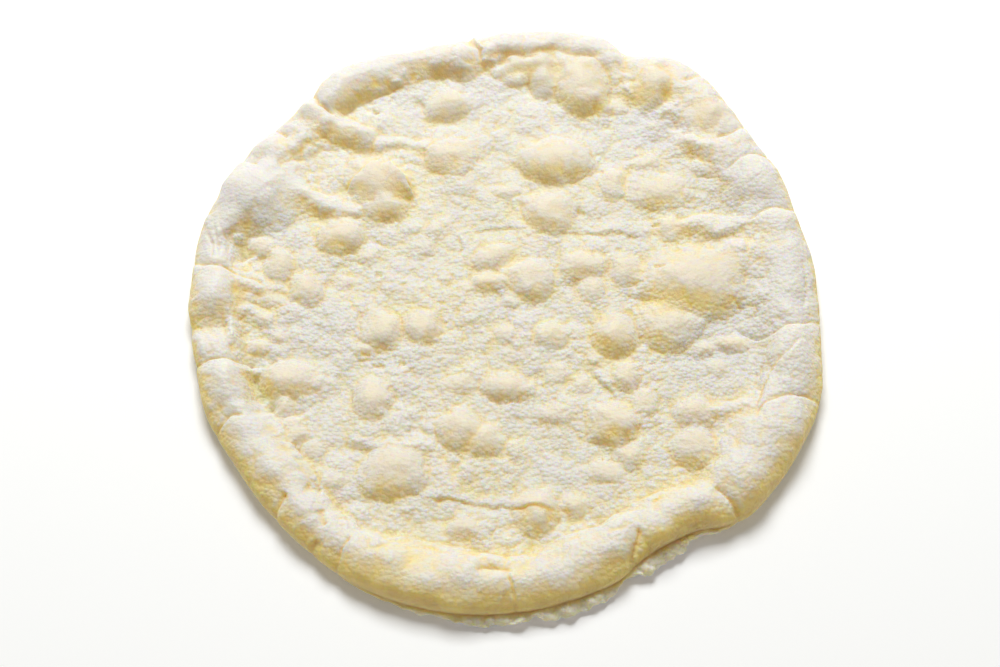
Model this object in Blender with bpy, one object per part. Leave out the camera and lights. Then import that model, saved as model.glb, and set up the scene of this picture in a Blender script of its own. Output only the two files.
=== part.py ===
"""Pizza base: a hand-stretched, par-baked round of white dough, plain and ready for its topping.

One solid. A thin blistered sheet runs out into a thick, uneven rolled rim, which is creased and folded
where the dough was pulled round, and a low torn lip stands out at the foot of the rim at the front.
It lies flat, +Z up, with its origin on the board under the middle of its box. Plan angles run
anticlockwise from +X, and the front is at -Y.
"""
import bpy
import numpy as np

MM = 0.001

# Driving sizes, in millimetres
SHEET_THICKNESS = 6.0
EQUATOR_HEIGHT = 6.5
UNDER_TUCK = 5.0
LOW_GROUND = 1.4
SIDE_CREASE = 0.25
NARROWEST_CREASE = 1.4
MM_A_DEGREE = 2.65
GRID_STEP = 1.9
RIM_ROWS = 11
UNDER_ROWS = 12
MOST_TRIANGLES = 11600

# The rim from place to place: angle, reach from the middle, crest height, width, how gently it runs in
RIM = (
    (0, 148.0, 14.5, 38, 1.4),
    (10, 149.5, 14.0, 42, 1.6),
    (20, 150.2, 14.0, 42, 1.6),
    (31, 155.0, 14.0, 40, 1.5),
    (37, 155.5, 13.5, 42, 1.5),
    (45, 160.5, 13.0, 44, 1.6),
    (52, 166.5, 12.5, 46, 1.7),
    (60, 168.5, 12.5, 42, 1.6),
    (67, 161.5, 12.0, 26, 1.3),
    (73, 166.0, 13.0, 23, 1.0),
    (82, 163.5, 13.5, 22, 0.8),
    (92, 159.5, 13.5, 21, 0.8),
    (98, 157.0, 13.5, 20, 0.8),
    (106, 157.0, 14.0, 19, 0.8),
    (115, 159.5, 14.5, 22, 0.6),
    (122, 160.5, 15.0, 23, 0.6),
    (130, 153.5, 14.0, 22, 1.0),
    (134, 152.0, 12.5, 26, 1.5),
    (139, 152.5, 12.0, 32, 1.8),
    (147, 152.5, 13.5, 34, 1.6),
    (156, 152.0, 15.0, 30, 1.4),
    (164, 151.5, 13.5, 24, 1.4),
    (172, 149.0, 14.5, 26, 1.0),
    (183, 147.5, 14.5, 26, 0.9),
    (192, 146.0, 13.5, 24, 0.9),
    (202, 147.5, 15.5, 29, 0.8),
    (213, 146.5, 15.5, 28, 0.7),
    (224, 148.5, 15.5, 28, 0.6),
    (234, 151.0, 14.5, 25, 0.8),
    (243, 154.0, 14.5, 27, 0.8),
    (252, 155.0, 15.0, 31, 0.7),
    (262, 155.0, 16.0, 31, 0.6),
    (272, 153.3, 15.5, 26, 0.6),
    (283, 149.8, 16.0, 30, 0.5),
    (290, 147.0, 15.5, 28, 0.5),
    (297, 141.6, 15.0, 25, 0.6),
    (306, 142.4, 15.5, 25, 0.7),
    (315, 152.5, 15.5, 30, 0.8),
    (323, 153.5, 17.0, 38, 0.7),
    (332, 153.5, 17.5, 40, 0.7),
    (341, 153.5, 16.5, 34, 0.9),
    (351, 149.5, 15.0, 32, 1.2),
)

# The torn lip at the foot of the front rim: angle, how far it stands out, how thick it is
LIP = (
    (0, 0.0, 4.5),
    (240, 0.0, 4.5),
    (248, 1.2, 4.5),
    (256, 2.6, 4.5),
    (263, 3.8, 4.5),
    (270, 4.8, 4.8),
    (278, 4.9, 4.8),
    (285, 6.0, 4.8),
    (289, 4.6, 4.8),
    (292, 1.8, 5.0),
    (295, 6.4, 6.4),
    (299, 7.4, 6.5),
    (303, 6.0, 6.5),
    (306, 3.2, 6.2),
    (309, 3.6, 6.0),
    (314, 0.0, 4.5),
)

# Lumps of the rim that reach in over the sheet: x, y, width, depth, height of the top, turn
LUMPS = (
    (-117, 91, 24, 18, 14.0, 35),
    (-120, 65, 52, 43, 16.8, -20),
    (-137, 6, 30, 34, 16.5, 0),
    (-128, -17, 14, 12, 11.0, 0),
    (-129, -43, 28, 36, 16.5, 0),
    (-117, -73, 28, 36, 15.0, 30),
    (-22, 144, 22, 24, 13.5, 0),
    (62, 146, 30, 22, 12.5, 0),
    (117, 96, 22, 17, 14.0, 0),
    (122, 69, 34, 30, 14.5, 0),
    (96, 93, 36, 15, 10.5, 5),
    (104, 47, 38, 14, 10.5, 5),
    (118, 28, 60, 32, 13.0, 5),
    (133, -5, 15, 10, 13.5, 0),
    (134, -28, 32, 40, 15.5, 0),
    (128, -66, 36, 38, 17.0, -20),
    (108, -88, 38, 36, 17.0, 30),
    (80, -107, 46, 26, 16.0, 28),
    (69, -116, 22, 22, 15.5, 20),
)

# Rolled or stretched ridges: path, half width at its two ends, height of the top at its two ends
RIDGES = (
    (((-110, 117), (-98, 114), (-88, 108), (-78, 102), (-69, 97)), (12, 8), (15.5, 12.5)),
    (((-62, 94), (-50, 96), (-38, 93)), (5, 3), (9.5, 7.0)),
    (((-113, 74), (-101, 64), (-91, 60), (-81, 57), (-71, 55)), (13, 4), (13.5, 8.0)),
    (((-3, 138), (12, 141), (30, 142)), (5, 6), (10.5, 11.5)),
    (((-132, 17), (-118, 14), (-106, 12)), (8, 6), (12.0, 7.5)),
    (((-134, -1), (-120, -1), (-111, -6)), (8, 6), (11.0, 7.5)),
    (((-149, -13), (-142, -18), (-137, -27)), (4.5, 4), (14.0, 11.5)),
    (((-68, -70), (-52, -72), (-34, -73)), (4, 4), (7.5, 7.2)),
    (((86, 46), (94, 49), (103, 44), (112, 47), (122, 50)), (6, 7), (9.0, 13.0)),
    (((96, -54), (110, -53), (122, -55)), (5, 9), (9.0, 14.0)),
    (((-19, 162), (-15, 155), (-12, 149)), (2.6, 2.2), (19.0, 15.5)),
)

# Blisters: x, y, width, depth, height above the sheet, turn
BLISTERS = (
    (-28, 117, 20, 18, 4.5, 0),
    (-25, 86, 24, 21, 5.4, 0),
    (25, 83, 37, 26, 8.6, 0),
    (23, 54, 26, 25, 5.9, 0),
    (53, 70, 13, 18, 3.6, 0),
    (75, 66, 32, 20, 3.8, 0),
    (69, 83, 15, 10, 2.3, 0),
    (74, 106, 9, 9, 1.6, 0),
    (48, 116, 13, 12, 2.5, 0),
    (57, 118, 11, 11, 2.2, 0),
    (-61, 71, 34, 28, 6.3, -25),
    (-57, 57, 23, 18, 5.4, 0),
    (6, 138, 17, 20, 5.0, 0),
    (20, 135, 18, 28, 6.3, 5),
    (39, 130, 29, 38, 8.6, 12),
    (75, 127, 23, 27, 7.2, -15),
    (93, -21, 17, 10, 2.5, 5),
    (107, -18, 18, 10, 2.9, -5),
    (99, -31, 13, 9, 1.6, 0),
    (99, 108, 28, 24, 5.4, 0),
    (90, 14, 54, 40, 9.5, -8),
    (-78, 40, 24, 20, 5.4, 0),
    (-107, 24, 15, 20, 4.3, 0),
    (-116, 35, 12, 12, 3.1, 0),
    (-93, 11, 18, 18, 4.3, 0),
    (-76, 16, 10, 10, 1.8, 0),
    (-34, 46, 8, 8, 1.6, 0),
    (2, 67, 14, 9, 1.8, 0),
    (-36, 35, 9, 9, 1.6, 0),
    (-5, 29, 20, 13, 3.8, 15),
    (-8, 15, 17, 13, 3.6, 0),
    (-28, 18, 8, 8, 1.4, 0),
    (-18, 14, 8, 8, 1.4, 0),
    (-64, 29, 9, 9, 1.6, 0),
    (80, 45, 18, 13, 3.1, 0),
    (38, 24, 23, 17, 5.0, 0),
    (41, 12, 13, 15, 3.2, 0),
    (13, 16, 21, 23, 5.4, 0),
    (3, 4, 8, 8, 1.4, 0),
    (59, 21, 17, 19, 4.1, 0),
    (-122, 7, 12, 12, 2.2, 0),
    (-110, 7, 14, 13, 2.2, 0),
    (-57, -12, 21, 22, 5.2, 0),
    (-65, -22, 11, 10, 2.7, 0),
    (-38, -10, 18, 19, 5.2, 0),
    (0, -13, 10, 11, 2.3, 0),
    (-22, -40, 20, 11, 2.7, 0),
    (1, -42, 26, 15, 4.5, 0),
    (-60, -48, 18, 22, 5.2, 0),
    (22, -13, 15, 16, 3.6, 0),
    (52, -14, 21, 25, 5.9, 0),
    (78, -9, 31, 28, 5.9, 12),
    (42, -26, 9, 9, 1.6, 0),
    (57, -36, 14, 18, 4.1, 0),
    (25, -34, 13, 12, 2.5, 0),
    (37, -40, 10, 10, 2.0, 0),
    (65, -50, 15, 15, 3.8, 0),
    (50, -61, 25, 24, 6.7, 0),
    (57, -77, 14, 14, 3.8, 0),
    (24, -56, 17, 12, 2.7, 0),
    (87, -56, 20, 17, 4.5, 0),
    (87, -73, 22, 22, 6.1, 0),
    (-20, -64, 20, 22, 5.6, 0),
    (-8, -70, 18, 17, 4.7, 0),
    (5, -73, 10, 9, 1.8, 0),
    (-99, -38, 27, 21, 5.9, 0),
    (-101, -52, 10, 12, 3.1, 0),
    (-106, -66, 8, 9, 2.5, 0),
    (-97, -60, 8, 7, 2.0, 0),
    (-99, -76, 9, 8, 2.3, 0),
    (-90, -85, 9, 8, 2.3, 0),
    (-77, -90, 11, 8, 2.3, 0),
    (-114, -20, 12, 9, 2.7, 0),
    (-104, -15, 9, 8, 2.2, 0),
    (-112, -5, 9, 8, 2.0, 0),
    (-95, -67, 11, 11, 2.7, 0),
    (-86, -74, 10, 10, 2.2, 0),
    (-51, -86, 30, 27, 7.7, 0),
    (14, -106, 21, 23, 6.1, 0),
    (33, -102, 14, 12, 3.2, 0),
    (46, -85, 15, 12, 3.2, 0),
    (-19, -113, 15, 13, 3.2, 0),
    (105, 14, 16, 15, 2.7, 0),
)

# Creases: path, depth and half width of the groove, depth and half width of the soft hollow round it,
# how far the left side of the path, or below 0 the right side, stands above the other
CREASES = (
    (((-101, 126), (-93, 121), (-90, 114), (-83, 109)), 2.1, 1.1, 1.5, 5, 0.8),
    (((-118, 106), (-111, 101), (-106, 96)), 1.4, 0.9, 1.2, 4, -0.8),
    (((-134, 86), (-125, 81), (-119, 78)), 1.4, 0.9, 1.3, 4, -0.8),
    (((-132, 42), (-127, 34), (-122, 27)), 2.5, 4.0, 1.5, 8, 0.0),
    (((-55, 84), (-50, 76), (-43, 64)), 0.4, 0.8, 0.0, 4, -4.0),
    (((-77, 65), (-70, 75), (-62, 85)), 0.4, 0.8, 0.3, 4, -2.5),
    (((-150, -9), (-139, -12), (-127, -10)), 0.6, 2.0, 3.5, 6, 0.0),
    (((-142, 42), (-139, 33), (-139, 25)), 0.6, 0.6, 0.3, 2, 0.0),
    (((-139, 43), (-136, 33), (-135, 26)), 0.6, 0.6, 0.3, 2, 0.0),
    (((-136, 43), (-132, 34), (-131, 27)), 0.6, 0.6, 0.3, 2, 0.0),
    (((-152, 27), (-140, 22), (-131, 20), (-120, 16), (-112, 13)), 1.4, 0.9, 1.2, 4, -1.0),
    (((-150, -31), (-139, -30), (-130, -29), (-112, -30)), 1.5, 0.9, 1.4, 4, -1.0),
    (((-116, -33), (-113, -44), (-107, -57)), 6.0, 5.0, 0.0, 4, 0.0),
    (((-13, -136.5), (-5, -136), (4, -136.5)), 1.5, 1.0, 0.5, 3, 0.0),
    (((-134, -68), (-128, -64), (-124, -61), (-118, -60)), 1.4, 0.9, 1.2, 4, -1.0),
    (((-97, -100), (-101, -106), (-104, -113)), 1.8, 1.4, 1.2, 5, 1.0),
    (((-16, 166), (-13, 151), (-11, 140)), 1.4, 0.9, 1.0, 4, 0.6),
    (((-10, 144), (12, 146.5), (30, 147), (52, 143)), 0.7, 1.3, 0.8, 3, 0.0),
    (((60, 154), (62, 143), (58, 133)), 1.1, 2.2, 1.5, 7, 0.0),
    (((88, 129), (98, 134), (104, 137)), 0.8, 0.9, 0.8, 4, -0.6),
    (((101, 94), (110, 97), (116, 101), (124, 107)), 1.3, 0.9, 1.0, 4, -0.8),
    (((108, 77), (113, 81), (120, 84), (133, 86)), 1.4, 0.9, 1.2, 5, -0.8),
    (((116, 47), (124, 51), (131, 54), (141, 55)), 1.4, 0.9, 1.2, 5, -0.8),
    (((108, -9), (116, -14), (123, -15), (130, -12), (141, -11), (151, -8)), 1.5, 0.9, 1.2, 5, -1.0),
    (((137, -20), (127, -31), (119, -44), (115, -57)), 0.8, 0.9, 0.8, 4, 1.8),
    (((115, -62), (116, -57), (120, -52), (127, -50), (138, -50), (148, -53)), 1.7, 1.0, 1.2, 5, -1.0),
    (((94, -96), (101, -103), (105, -110)), 1.7, 1.1, 1.4, 5, 0.8),
    (((61, -116), (59, -124), (57, -134)), 1.7, 1.2, 1.5, 5, 0.8),
    (((2, -139), (4, -146), (6, -156)), 1.1, 0.8, 1.2, 5, 0.5),
    (((-67, -119), (-70, -126), (-76, -137)), 1.1, 0.8, 1.0, 5, 0.8),
    (((-83, -121), (-86, -127), (-90, -132)), 1.0, 1.2, 0.8, 4, 0.0),
    (((-89, -94), (-82, -95)), 2.0, 2.2, 1.0, 5, 0.0),
    (((-83, -107), (-80, -115)), 1.4, 1.6, 1.0, 4, 0.0),
    (((32, 43), (50, 42), (68, 41)), 0.6, 0.8, 0.8, 3, 0.9),
    (((-15, 45), (0, 46), (10, 46)), 0.6, 0.8, 0.4, 3, 0.8),
    (((112, -1), (106, 6)), 0.8, 0.7, 0.5, 3, 0.0),
    (((141, 24), (142, 10), (141, -3)), 0.7, 0.7, 0.6, 3, 0.6),
    (((25, -105), (3, -103), (-10, -102), (-20, -99), (-30, -99), (-38, -97)), 0.4, 0.8, 0.6, 4, -1.6),
    (((-22, 42), (-20, 36), (-20, 30)), 0.6, 0.8, 0.4, 3, 0.9),
    (((59, 9), (63, 6), (67, 5)), 0.7, 0.8, 0.5, 3, 0.5),
    (((41, -34), (46, -40), (51, -45)), 0.5, 0.8, 0.4, 3, 1.2),
    (((-49, -29), (-45, -29)), 1.3, 1.5, 0.3, 3, 0.0),
    (((71, 47), (75, 47)), 1.3, 1.3, 0.3, 3, 0.0),
    (((71, 22), (77, 22)), 1.1, 0.9, 0.3, 3, 0.0),
    (((-61, 20), (-57, 20)), 1.1, 1.2, 0.3, 3, 0.0),
    (((-66, 114), (-62, 114)), 1.2, 1.3, 0.3, 3, 0.0),
    (((35, 54), (39, 54)), 1.1, 1.2, 0.3, 3, 0.0),
    (((-67, -24), (-61, -24)), 1.2, 1.2, 0.5, 3, 0.0),
    (((-61, -29), (-55, -30)), 1.0, 1.1, 0.5, 3, 0.0),
)


def between(table, column, angle):
    """A smooth closed curve through one column of a table whose rows start with an angle."""
    stop = np.array([row[0] for row in table], float)
    value = np.array([row[column] for row in table], float)
    stop = np.concatenate((stop[-2:] - 360, stop, stop[:2] + 360))
    value = np.concatenate((value[-2:], value, value[:2]))
    slope = np.gradient(value, stop)
    k = np.searchsorted(stop, angle, side="right") - 1
    gap = stop[k + 1] - stop[k]
    t = (angle - stop[k]) / gap
    start = (1 + 2 * t) * (1 - t) ** 2 * value[k] + t * (1 - t) ** 2 * gap * slope[k]
    end = t * t * (3 - 2 * t) * value[k + 1] + t * t * (t - 1) * gap * slope[k + 1]
    return start + end


def uneven(x, y, size, seed):
    """Smooth seeded unevenness from -1 to 1, in patches of one size."""
    cells = 97
    table = np.random.default_rng(seed).uniform(-1, 1, (cells, cells))
    u = x / size + cells
    v = y / size + cells
    i = np.floor(u).astype(int)
    j = np.floor(v).astype(int)
    f = u - i
    g = v - j
    f = f * f * (3 - 2 * f)
    g = g * g * (3 - 2 * g)
    near = table[i % cells, j % cells] * (1 - f) + table[(i + 1) % cells, j % cells] * f
    far = table[i % cells, (j + 1) % cells] * (1 - f) + table[(i + 1) % cells, (j + 1) % cells] * f
    return near * (1 - g) + far * g


def turned(x, y, degrees):
    """Plan places turned about the middle, so that no grid shows through the unevenness."""
    c = np.cos(np.radians(degrees))
    s = np.sin(np.radians(degrees))
    return x * c + y * s, y * c - x * s


def pebbles(x, y, size, stretch, seed):
    """Close-set little mounds from 0 to 1 high, wider than deep by the stretch."""
    cells = 97
    rng = np.random.default_rng(seed)
    across = rng.uniform(0.1, 0.9, (cells, cells))
    along = rng.uniform(0.1, 0.9, (cells, cells))
    tall = rng.uniform(0.15, 1.0, (cells, cells))
    u = x / (size * stretch)
    v = y / size
    i = np.floor(u).astype(int)
    j = np.floor(v).astype(int)
    height = np.zeros_like(u)
    for a in (-1, 0, 1):
        for b in (-1, 0, 1):
            p = (i + a) % cells
            q = (j + b) % cells
            apart = (u - i - a - across[p, q]) ** 2 + (v - j - b - along[p, q]) ** 2
            height = np.maximum(height, tall[p, q] * np.clip(1 - apart / 0.55, 0, 1))
    return height


def soft_top(a, b, blend):
    """The higher of two heights, with the corner between them rounded."""
    share = np.clip(0.5 + 0.5 * (a - b) / blend, 0, 1)
    return b + (a - b) * share + blend * share * (1 - share)


def round_off(path, steps=8):
    """Points of a smooth curve through the path's own points."""
    own = np.array(path, float)
    own = np.vstack((2 * own[0] - own[1], own, 2 * own[-1] - own[-2]))
    curve = []
    for a, b, c, d in zip(own[:-3], own[1:-2], own[2:-1], own[3:]):
        for t in np.arange(steps) / steps:
            bend = (2 * a - 5 * b + 4 * c - d) * t * t + (3 * b - a - 3 * c + d) * t ** 3
            curve.append(b + 0.5 * ((c - a) * t + bend))
    curve.append(own[-2])
    return np.array(curve)


def beside(x, y, path, reach):
    """The points within reach of a path: their indices, how far to its left or, below 0, to its right
    they lie, and at what share of its length."""
    curve = round_off(path)
    low = curve.min(axis=0) - reach
    high = curve.max(axis=0) + reach
    near = np.nonzero((x > low[0]) & (x < high[0]) & (y > low[1]) & (y < high[1]))[0]
    steps = np.hypot(*np.diff(curve, axis=0).T)
    run = np.concatenate(([0], np.cumsum(steps)))
    away = np.full(len(near), np.inf)
    side = np.ones(len(near))
    share = np.zeros(len(near))
    for start, end, before, step in zip(curve[:-1], curve[1:], run, steps):
        way = (end - start) / step
        gone = (x[near] - start[0]) * way[0] + (y[near] - start[1]) * way[1]
        gone = np.clip(gone, 0, step)
        far = np.hypot(x[near] - start[0] - gone * way[0], y[near] - start[1] - gone * way[1])
        left = way[0] * (y[near] - start[1]) - way[1] * (x[near] - start[0])
        closer = far < away
        away[closer] = far[closer]
        side[closer] = np.sign(left[closer])
        share[closer] = (before + gone[closer]) / run[-1]
    return near, away * side, share


def over(x, y, middle_x, middle_y, width, depth, turn):
    """The points near an oval: their indices, and 0 at its middle rising to 1 at its edge."""
    reach = max(width, depth)
    near = np.nonzero((abs(x - middle_x) < reach) & (abs(y - middle_y) < reach))[0]
    dx = x[near] - middle_x
    dy = y[near] - middle_y
    c = np.cos(np.radians(turn))
    s = np.sin(np.radians(turn))
    out = np.hypot((dx * c + dy * s) / (width / 2), (dy * c - dx * s) / (depth / 2))
    return near, out * (1 + 0.09 * uneven(x[near], y[near], 0.5 * min(width, depth), 41))


def crest_inset(width):
    """How far in from the rim's outermost line its crest lies."""
    return 4 + 0.28 * np.minimum(width, 28)


def plain_rim(x, y):
    """Height of the sheet and its rolled rim, bare of every lump, blister and crease."""
    angle = np.degrees(np.arctan2(y, x)) % 360
    reach, crest, width, gentle = (between(RIM, column, angle) for column in (1, 2, 3, 4))
    inset = crest_inset(width)
    into = reach - np.hypot(x, y)
    across = np.clip((into - inset) / (width - inset), 0, 1)
    inner = SHEET_THICKNESS + (crest - SHEET_THICKNESS) * (1 - across ** 2) ** (1.6 * gentle)
    round_over = np.clip(1 - into / inset, 0, 1)
    outer = EQUATOR_HEIGHT + (crest - EQUATOR_HEIGHT) * (1 - round_over ** 1.7) ** 0.62
    return np.where(into > inset, inner, outer)


def add_lumps(top, x, y):
    """Raises the heights in top to the lumps, in place."""
    for middle_x, middle_y, width, depth, height, turn in LUMPS:
        near, out = over(x, y, middle_x, middle_y, 1.08 * width, 1.08 * depth, turn)
        swell = (height - LOW_GROUND) * np.clip(1 - out ** 2, 0, 1) ** 0.75
        top[near] = soft_top(top[near], LOW_GROUND + swell, 4.5)


def add_ridges(top, x, y):
    """Raises the heights in top to the ridges, in place."""
    for path, half_widths, heights in RIDGES:
        near, away, share = beside(x, y, path, max(half_widths))
        half_width = half_widths[0] + (half_widths[1] - half_widths[0]) * share
        height = heights[0] + (heights[1] - heights[0]) * share
        swell = (height - LOW_GROUND) * np.clip(1 - (away / half_width) ** 2, 0, 1) ** 0.75
        top[near] = soft_top(top[near], LOW_GROUND + swell, 3.0)


def blisters(x, y):
    """How high the blisters stand over the sheet, and how taut they make the skin, 0 to 1."""
    blown = np.zeros_like(x)
    taut = np.zeros_like(x)
    for middle_x, middle_y, width, depth, height, turn in BLISTERS:
        near, out = over(x, y, middle_x, middle_y, width, depth, turn)
        back = np.clip(0.5 + (y[near] - middle_y) / depth, 0, 1)
        dome = np.clip(1 - (out / (1.0 + 0.2 * back)) ** 2, 0, 1) ** (1.0 + 0.3 * back)
        blown[near] = np.cbrt(blown[near] ** 3 + (height * dome) ** 3)
        taut[near] = np.maximum(taut[near], dome * np.clip(height / 3.0, 0, 1))
    return blown, taut


def cut_creases(stand, x, y, facing_up):
    """Takes the creases out of how far the skin stands up, in place."""
    for path, depth, half_width, hollow, hollow_half_width, fold in CREASES:
        half_width = max(half_width, NARROWEST_CREASE)
        near, across, share = beside(x, y, path, max(16, 3 * half_width, 3 * hollow_half_width))
        away = abs(across)
        fade = np.clip(6 * np.minimum(share, 1 - share) + 0.15, 0, 1)
        groove = depth * np.exp(-(away / half_width) ** 1.6)
        groove += hollow * np.exp(-(away / hollow_half_width) ** 2)
        raised = np.clip(0.5 + across * np.sign(fold), 0, 1)
        groove -= abs(fold) * raised * np.exp(-(away / 5) ** 1.5)
        stand[near] -= groove * fade * (SIDE_CREASE + (1 - SIDE_CREASE) * facing_up[near])


def goose_flesh(x, y):
    """Height of the sheet's small mounds and wrinkles, in millimetres."""
    drag_x = x + 0.8 * uneven(x, y, 6, 31)
    drag_y = y + 0.8 * uneven(x, y, 6, 33)
    mounds = 1.4 * pebbles(*turned(drag_x, drag_y, 10), 9.5, 1.2, 17)
    mounds += 0.75 * pebbles(*turned(drag_x, drag_y, -8), 4.6, 1.2, 11)
    return mounds * (0.85 + 0.35 * uneven(x, y, 16, 15)) + 0.2


def dragged(x, y):
    """Plan places dragged a little out of true."""
    return (
        x + 1.0 * uneven(x, y, 9, 1) + 0.5 * uneven(x, y, 4, 2),
        y + 1.0 * uneven(x, y, 9, 3) + 0.5 * uneven(x, y, 4, 4),
    )


def relief(x, y, plain, facing_up):
    """How far the skin stands off the plain rim and sheet, measured square to them."""
    x, y = dragged(x, y)
    top = plain.copy()
    add_lumps(top, x, y)
    add_ridges(top, x, y)
    stand = (top - plain) * facing_up ** 2
    blown, taut = blisters(x, y)
    blown = np.maximum(blown - 0.5 * (plain - SHEET_THICKNESS), 0)
    stand = np.cbrt(np.maximum(stand, 0) ** 3 + (blown * facing_up) ** 3)
    cut_creases(stand, x, y, facing_up)
    rim = np.clip((plain + stand - SHEET_THICKNESS - 0.8) / 5, 0, 1)
    stand += facing_up * rim * (1.2 * uneven(x, y, 17, 5) + 0.8 * uneven(x, y, 8, 6))
    stand += facing_up * (1 - rim) * (2.2 * pebbles(*turned(x, y, 21), 22, 1.3, 7) - 0.9)
    slack = np.clip((plain - 6.3) / 1.5, 0, 1) * np.clip((12 - plain) / 2, 0, 1) * (1 - taut)
    stand += facing_up * slack * (2.2 * pebbles(*turned(x, y, -17), 8.5, 1.2, 18) - 0.8)
    swollen = np.clip((top - plain) / 6, 0, 1)
    rolled = np.clip((plain - 11) / 3, 0, 1)
    rough = (1 - np.max((0.45 * rolled, 0.6 * swollen, 0.6 * taut), axis=0)) * facing_up
    stand += rough * goose_flesh(x, y)
    return stand


def torn_lip(angle, height):
    """How far the lip stands out at a plan angle and a height above the board."""
    along = angle * MM_A_DEGREE
    ragged = 0.3 * uneven(along, 0 * along, 7, 21) + 0.35 * pebbles(along, height, 4.2, 1.1, 23) - 0.15
    middle_height = 0.5 * between(LIP, 2, angle) * (1 + 0.2 * uneven(along, 0 * along, 6, 24))
    bead = np.clip(1 - (height / middle_height - 1) ** 2, 0, 1) ** 0.6
    return between(LIP, 1, angle) * (1 + ragged) * bead


def skin_corners(angle, zone, place):
    """Corners of the skin from their plan angle, their zone's name and their place in it, 0 to 1."""
    out_x = np.cos(np.radians(angle))
    out_y = np.sin(np.radians(angle))
    reach, crest, width = (between(RIM, column, angle) for column in (1, 2, 3))
    inset = crest_inset(width)
    upright = np.pi / 2
    lean = np.select([zone == "top", zone == "rim", zone == "under"],
                     [upright, (1 - place) * upright, -place * upright], -upright)
    lip = torn_lip(angle, EQUATOR_HEIGHT * (1 + np.sin(np.minimum(lean, 0))))
    radius = np.select(
        [zone == "top", zone == "rim", zone == "under"],
        [
            (reach - inset) * place,
            reach - inset * (1 - np.cos(lean)),
            reach - UNDER_TUCK * (1 - np.cos(lean)) + lip,
        ],
        (reach - UNDER_TUCK + lip) * place,
    )
    x = radius * out_x
    y = radius * out_y
    above = (zone == "top") | (zone == "rim")
    knobs = np.clip(lip / 3, 0, 1) * (3.0 * pebbles(x, y, 3.1, 1.2, 25) - 0.9)
    low = EQUATOR_HEIGHT * (1 + np.sin(lean))
    plain = np.where(above, plain_rim(x, y), low + knobs * np.clip(low / 2, 0, 1))
    stand = relief(x, y, plain, np.clip(np.sin(lean), 0, 1))
    stand *= np.select([above, zone == "under"], [1.0, np.cos(lean)], 0.0)
    x = x + stand * np.cos(lean) * out_x
    y = y + stand * np.cos(lean) * out_y
    z = np.maximum(plain + stand * np.sin(lean), 0)
    return np.column_stack((x, y, z))


def stitch(first, first_count, second, second_count):
    """Triangles between two rings, the second one outside or below the first."""
    faces = []
    i = 0
    j = 0
    while i < first_count or j < second_count:
        a = first + i % first_count
        b = second + j % second_count
        if j == second_count or (i < first_count and (i + 1) * second_count < (j + 1) * first_count):
            faces.append((a, b, first + (i + 1) % first_count))
            i += 1
        else:
            faces.append((a, b, second + (j + 1) % second_count))
            j += 1
    return faces


def dough_skin():
    """Corners and triangles of the closed skin: the top, the rim, its tuck and the flat underside."""
    middle_reach = RIM[0][1]
    top_rows = round(middle_reach / GRID_STEP)
    around = round(2 * np.pi * middle_reach / GRID_STEP)
    rows = [("top", k / top_rows) for k in range(1, top_rows + 1)]
    rows += [("rim", k / RIM_ROWS) for k in range(1, RIM_ROWS + 1)]
    rows += [("under", k / UNDER_ROWS) for k in range(1, UNDER_ROWS)]
    rows += [("bottom", k / top_rows) for k in range(top_rows, 0, -1)]
    counts = [max(6, round(around * place)) if zone in ("top", "bottom") else around for zone, place in rows]
    starts = [int(n) for n in np.cumsum([1] + counts)]
    faces = [(0, 1 + i, 1 + (i + 1) % counts[0]) for i in range(counts[0])]
    for k in range(len(rows) - 1):
        faces += stitch(starts[k], counts[k], starts[k + 1], counts[k + 1])
    last_ring = starts[-2]
    under_middle = starts[-1]
    faces += [
        (under_middle, last_ring + (i + 1) % counts[-1], last_ring + i) for i in range(counts[-1])
    ]
    angle = np.concatenate([np.arange(count) * 360.0 / count for count in [1] + counts + [1]])
    zone = np.repeat(["top"] + [row[0] for row in rows] + ["bottom"], [1] + counts + [1])
    place = np.repeat([0.0] + [row[1] for row in rows] + [0.0], [1] + counts + [1])
    return skin_corners(angle, zone, place) * MM, faces


def dough_material():
    """Pale cream dough: matt, with the light sinking a little way in."""
    material = bpy.data.materials.new("pale_dough")
    material.use_nodes = True
    shader = material.node_tree.nodes["Principled BSDF"]
    shader.inputs["Base Color"].default_value = (0.80, 0.72, 0.52, 1.0)
    shader.inputs["Roughness"].default_value = 0.75
    shader.inputs["Metallic"].default_value = 0.0
    return material


def pizza_base():
    """The whole base as one object, its skin thinned to larger facets where it is flat."""
    corners, faces = dough_skin()
    middle = (corners.min(axis=0) + corners.max(axis=0)) / 2
    middle[2] = 0
    mesh = bpy.data.meshes.new("pizza_base")
    mesh.from_pydata([tuple(corner) for corner in corners - middle], [], faces)
    mesh.materials.append(dough_material())
    base = bpy.data.objects.new("pizza_base", mesh)
    bpy.context.scene.collection.objects.link(base)
    thin = base.modifiers.new("thin", "DECIMATE")
    thin.ratio = MOST_TRIANGLES / len(faces)
    mesh.shade_smooth()
    return base


for old in list(bpy.data.objects):
    bpy.data.objects.remove(old)
pizza_base()
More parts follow.
